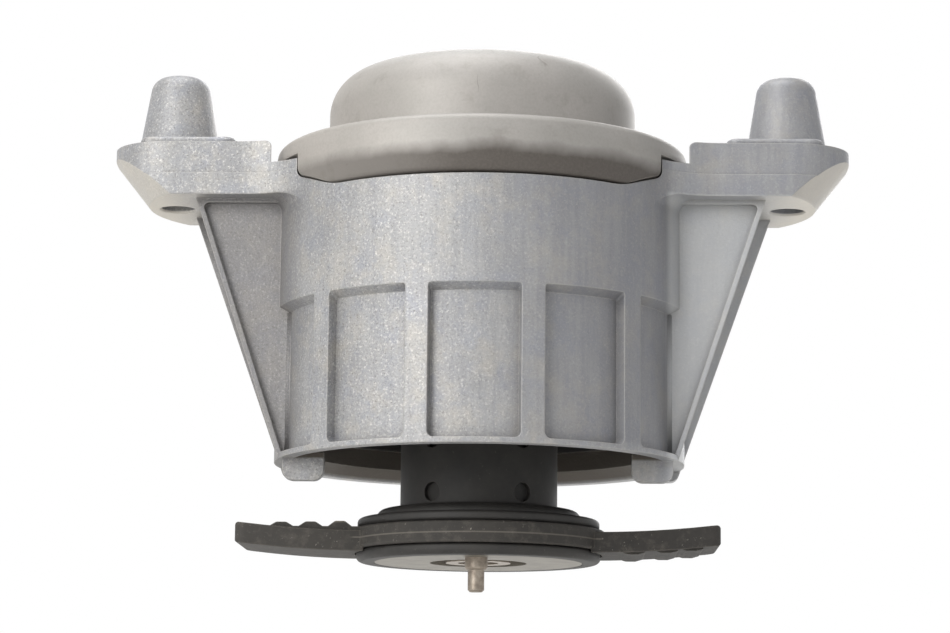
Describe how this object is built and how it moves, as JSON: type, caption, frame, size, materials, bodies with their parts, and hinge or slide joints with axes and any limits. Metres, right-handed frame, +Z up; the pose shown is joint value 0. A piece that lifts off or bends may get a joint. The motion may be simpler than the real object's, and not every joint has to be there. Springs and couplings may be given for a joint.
{
  "type": "engine mount",
  "caption": "Hydraulic engine mount: ribbed cast housing with side ears, domed crimped cap, rubber spring and core with locating pin.",
  "frame": {"origin": "centre of the core's underside, at the mouth of its central thread", "axes": "+Z up the mount's axis through the domed cap, X along the line of the two ears, -Y towards the locating pin"},
  "size_m": [0.1842, 0.104, 0.1351],
  "materials": {
    "cast_aluminium": "as die-cast, matt",
    "drawn_cap": "deep-drawn, satin",
    "plate_aluminium": "die-cast, matt",
    "core_aluminium": "machined face",
    "ring_steel": "zinc plated",
    "pin_steel": "turned, dull",
    "spring_rubber": "moulded, satin",
    "stop_rubber": "moulded, dusty",
    "bellows_rubber": "moulded"
  },
  "bodies": {
    "root": {"housing": "cast_aluminium", "cover_cap": "drawn_cap", "bellows": "bellows_rubber", "bellows_hoop": "ring_steel", "channel_plate_upper": "plate_aluminium", "channel_plate_lower": "plate_aluminium", "channel_rivets": "plate_aluminium", "decoupler_disc": "bellows_rubber", "spring_outer_ring": "plate_aluminium", "load_spring": "spring_rubber", "inner_core": "core_aluminium", "core_thread_bush": "ring_steel", "locating_pin": "pin_steel", "stop_ring": "stop_rubber"}
  },
  "joints": []
}
